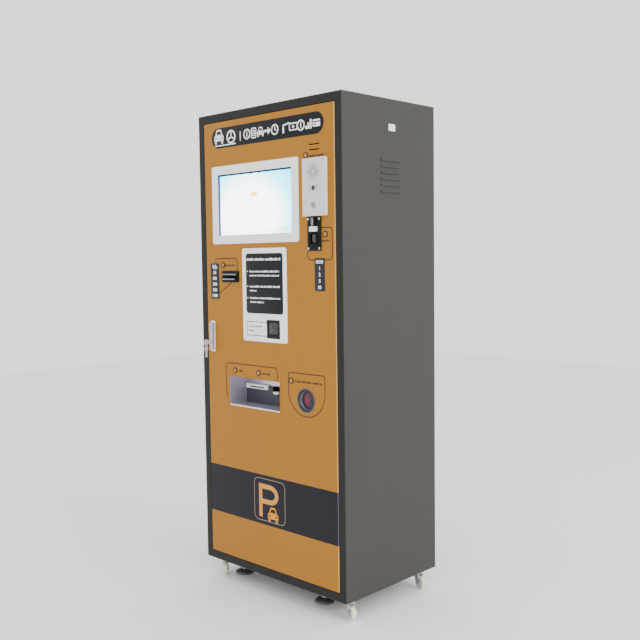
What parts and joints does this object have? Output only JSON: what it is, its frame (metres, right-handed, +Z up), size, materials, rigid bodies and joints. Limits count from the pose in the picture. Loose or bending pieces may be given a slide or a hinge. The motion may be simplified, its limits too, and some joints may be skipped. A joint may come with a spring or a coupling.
{
  "type": "parking payment machine",
  "caption": "Free-standing parking payment machine: tall steel cabinet on casters, gold front door with display, coin and banknote slots, tray and lock.",
  "frame": {"origin": "centre of the bounding box's footprint, on the floor", "axes": "+X to the machine's right as seen from the front, +Y to the back, +Z up"},
  "size_m": [0.757, 0.5688, 1.8],
  "materials": {
    "cabinet_paint": "fine textured powder coat, dark grey",
    "frame_paint": "satin powder coat, dark grey",
    "door_paint": "satin metallic gold paint",
    "zinc": "zinc-plated steel",
    "steel": "satin stainless steel",
    "black_plastic": "matt black",
    "dark_print": "satin dark blue-grey film",
    "white_plastic": "satin white",
    "cream_wheel": "cast polyurethane, cream",
    "foot_plastic": "dark moulded foot on a steel stud",
    "screen_glass": "clear cover glass",
    "device_body": "moulded device housing",
    "computer_case": "black anodised aluminium",
    "red_plastic": "moulded red plastic",
    "brass_disc": "yellow coin disc",
    "paper": "white thermal paper"
  },
  "bodies": {
    "cabinet": {"left_side": "cabinet_paint", "right_side": "cabinet_paint", "front_frame": "frame_paint", "top_cover": "cabinet_paint", "base_pan": "cabinet_paint", "rear_panel": "cabinet_paint", "panel_screws": "zinc", "equipment_rack": "zinc", "hinge_brackets": "zinc", "caster_plates": "zinc", "control_computer": "computer_case", "power_supply": "device_body", "fan_frame": "black_plastic", "cable_gland": "black_plastic", "coin_hopper": "red_plastic"},
    "door": {"door_panel": "door_paint", "hinge_knuckles": "zinc", "door_decals": "dark_print", "display_bezel": "white_plastic", "display_glass": "screen_glass", "display_module": "device_body", "instruction_plate": "white_plastic", "code_reader": "black_plastic", "intercom_case": "white_plastic", "intercom_plate": "steel", "coin_faceplate": "black_plastic", "coin_mechanism": "device_body", "note_bezel": "black_plastic", "note_head": "device_body", "pickup_tray": "steel", "receipt_printer": "white_plastic", "scanner_cup": "steel", "door_screws": "steel", "lock_base": "steel", "lock_case": "zinc"},
    "fan_rotor": {"fan_rotor": "black_plastic"},
    "hopper_disc": {"hopper_disc": "brass_disc"},
    "coin_box": {"coin_box": "steel"},
    "caster_fork_front_left": {"caster_fork_front_left": "zinc"},
    "caster_fork_front_right": {"caster_fork_front_right": "zinc"},
    "caster_fork_rear_left": {"caster_fork_rear_left": "zinc"},
    "caster_fork_rear_right": {"caster_fork_rear_right": "zinc"},
    "caster_wheel_front_left": {"caster_wheel_front_left": "cream_wheel"},
    "caster_wheel_front_right": {"caster_wheel_front_right": "cream_wheel"},
    "caster_wheel_rear_left": {"caster_wheel_rear_left": "cream_wheel"},
    "caster_wheel_rear_right": {"caster_wheel_rear_right": "cream_wheel"},
    "foot_front_left": {"foot_front_left": "foot_plastic"},
    "foot_front_right": {"foot_front_right": "foot_plastic"},
    "foot_rear_left": {"foot_rear_left": "foot_plastic"},
    "foot_rear_right": {"foot_rear_right": "foot_plastic"},
    "call_button": {"call_button": "steel"},
    "reject_button": {"reject_button": "white_plastic"},
    "return_flap": {"return_flap": "black_plastic"},
    "note_cassette": {"note_cassette": "black_plastic"},
    "paper_roll": {"paper_roll": "paper"},
    "lock_lever": {"lock_lever": "steel"},
    "upper_bolt": {"upper_bolt": "zinc"},
    "lower_bolt": {"lower_bolt": "zinc"},
    "lock_key": {"lock_key": "steel"},
    "key_ring": {"key_ring": "steel"}
  },
  "joints": [
    {"name": "door_swing", "type": "hinge", "parent": "cabinet", "child": "door", "pos_m": [0.334, -0.2291, 0.937], "axis": [0, 0, 1], "range_deg": [0, 105]},
    {"name": "handle_turn", "type": "hinge", "parent": "door", "child": "lock_lever", "pos_m": [-0.31, -0.2356, 0.995], "axis": [0, -1, 0], "range_deg": [0, 90]},
    {"name": "upper_bolt_throw", "type": "slide", "parent": "door", "child": "upper_bolt", "axis": [0, 0, 1], "range_m": [0, 0.0178]},
    {"name": "lower_bolt_throw", "type": "slide", "parent": "door", "child": "lower_bolt", "axis": [0, 0, -1], "range_m": [0, 0.0178]},
    {"name": "key_turn", "type": "hinge", "parent": "lock_lever", "child": "lock_key", "pos_m": [-0.31, -0.2556, 0.935], "axis": [0, -1, 0], "range_deg": [0, 90]},
    {"name": "key_ring_swing", "type": "hinge", "parent": "lock_key", "child": "key_ring", "pos_m": [-0.31, -0.2734, 0.928], "axis": [1, 0, 0], "range_deg": [-40, 25]},
    {"name": "call_button_press", "type": "slide", "parent": "door", "child": "call_button", "axis": [0, 1, 0], "range_m": [0, 0.0015], "stiffness_N_per_m": 600},
    {"name": "reject_button_press", "type": "slide", "parent": "door", "child": "reject_button", "axis": [0, 1, 0], "range_m": [0, 0.003], "stiffness_N_per_m": 400},
    {"name": "return_flap_push", "type": "hinge", "parent": "door", "child": "return_flap", "pos_m": [0.2468, -0.2386, 1.333], "axis": [1, 0, 0], "range_deg": [0, 50], "stiffness_Nm_per_rad": 0.01},
    {"name": "note_cassette_pull", "type": "slide", "parent": "door", "child": "note_cassette", "axis": [0, 1, 0], "range_m": [0, 0.12]},
    {"name": "paper_roll_turn", "type": "hinge", "parent": "door", "child": "paper_roll", "pos_m": [-0.151, -0.0871, 0.858], "axis": [1, 0, 0], "continuous": true},
    {"name": "coin_box_pull", "type": "slide", "parent": "cabinet", "child": "coin_box", "axis": [0, -1, 0], "range_m": [0, 0.18]},
    {"name": "hopper_disc_turn", "type": "hinge", "parent": "cabinet", "child": "hopper_disc", "pos_m": [-0.042, 0.1294, 0.826], "axis": [0, 0, 1], "continuous": true},
    {"name": "fan_spin", "type": "hinge", "parent": "cabinet", "child": "fan_rotor", "pos_m": [0.36, 0.0114, 1.531], "axis": [1, 0, 0], "continuous": true},
    {"name": "caster_swivel_front_left", "type": "hinge", "parent": "cabinet", "child": "caster_fork_front_left", "pos_m": [-0.333, -0.1786, 0.06], "axis": [0, 0, 1], "continuous": true},
    {"name": "wheel_roll_front_left", "type": "hinge", "parent": "caster_fork_front_left", "child": "caster_wheel_front_left", "pos_m": [-0.32027, -0.19133, 0.025], "axis": [0.7071, 0.7071, 0], "continuous": true},
    {"name": "caster_swivel_front_right", "type": "hinge", "parent": "cabinet", "child": "caster_fork_front_right", "pos_m": [0.333, -0.1786, 0.06], "axis": [0, 0, 1], "continuous": true},
    {"name": "wheel_roll_front_right", "type": "hinge", "parent": "caster_fork_front_right", "child": "caster_wheel_front_right", "pos_m": [0.35002, -0.18446, 0.025], "axis": [0.3256, 0.9455, 0], "continuous": true},
    {"name": "caster_swivel_rear_left", "type": "hinge", "parent": "cabinet", "child": "caster_fork_rear_left", "pos_m": [-0.333, 0.2074, 0.06], "axis": [0, 0, 1], "continuous": true},
    {"name": "wheel_roll_rear_left", "type": "hinge", "parent": "caster_fork_rear_left", "child": "caster_wheel_rear_left", "pos_m": [-0.31669, 0.19979, 0.025], "axis": [0.4226, 0.9063, 0], "continuous": true},
    {"name": "caster_swivel_rear_right", "type": "hinge", "parent": "cabinet", "child": "caster_fork_rear_right", "pos_m": [0.333, 0.2074, 0.06], "axis": [0, 0, 1], "continuous": true},
    {"name": "wheel_roll_rear_right", "type": "hinge", "parent": "caster_fork_rear_right", "child": "caster_wheel_rear_right", "pos_m": [0.35061, 0.20366, 0.025], "axis": [0.2079, 0.9781, 0], "continuous": true},
    {"name": "foot_height_front_left", "type": "slide", "parent": "cabinet", "child": "foot_front_left", "axis": [0, 0, -1], "range_m": [0, 0.028]},
    {"name": "foot_height_front_right", "type": "slide", "parent": "cabinet", "child": "foot_front_right", "axis": [0, 0, -1], "range_m": [0, 0.028]},
    {"name": "foot_height_rear_left", "type": "slide", "parent": "cabinet", "child": "foot_rear_left", "axis": [0, 0, -1], "range_m": [0, 0.028]},
    {"name": "foot_height_rear_right", "type": "slide", "parent": "cabinet", "child": "foot_rear_right", "axis": [0, 0, -1], "range_m": [0, 0.028]}
  ],
  "couplings": [
    {"joint": "upper_bolt_throw", "follows": "handle_turn", "m_per_rad": 0.01125},
    {"joint": "lower_bolt_throw", "follows": "handle_turn", "m_per_rad": 0.01125}
  ]
}
